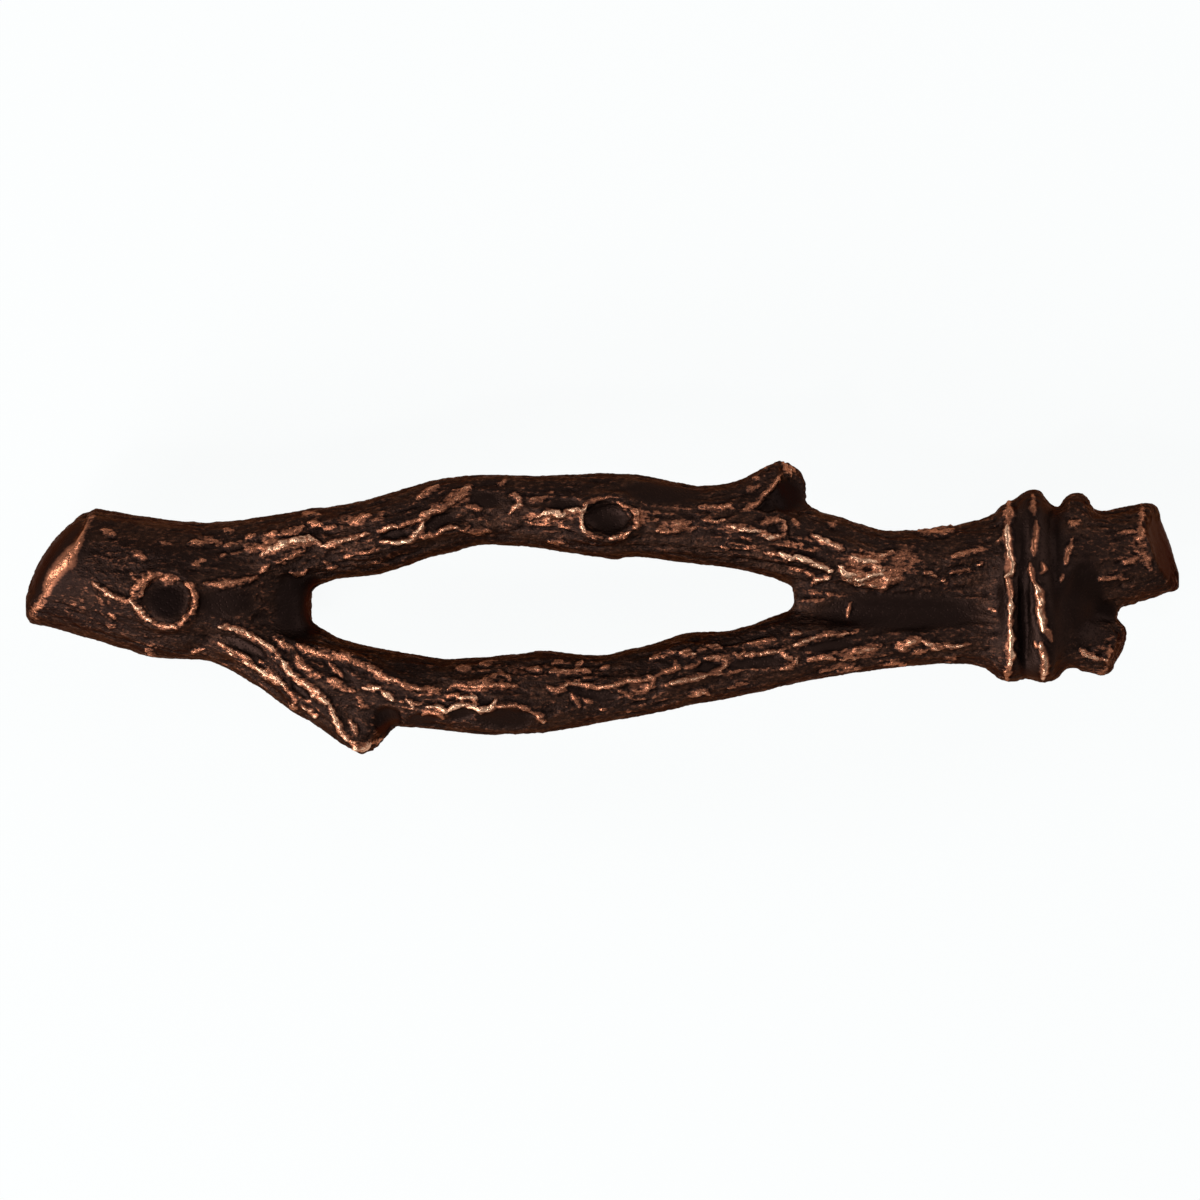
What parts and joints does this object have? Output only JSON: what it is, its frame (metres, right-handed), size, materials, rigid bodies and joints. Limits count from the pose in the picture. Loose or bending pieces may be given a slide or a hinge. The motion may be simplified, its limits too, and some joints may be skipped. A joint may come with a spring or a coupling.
{
  "type": "twig drawer pull",
  "caption": "Cast drawer pull in the form of a forked twig with a long finger opening, bound at one end, on two tapped posts.",
  "frame": {"origin": "on the plane of the drawer face, midway between the two screw holes", "axes": "+X along the pull towards its bound end, +Y across it, +Z out of the drawer"},
  "size_m": [0.1297, 0.0332, 0.0245],
  "materials": {
    "patinated_bronze": "bronze casting with a near-black brown patina, rubbed back to bright copper along the bark ridges, satin"
  },
  "bodies": {
    "root": {"twig_pull_casting": "patinated_bronze"}
  },
  "joints": []
}
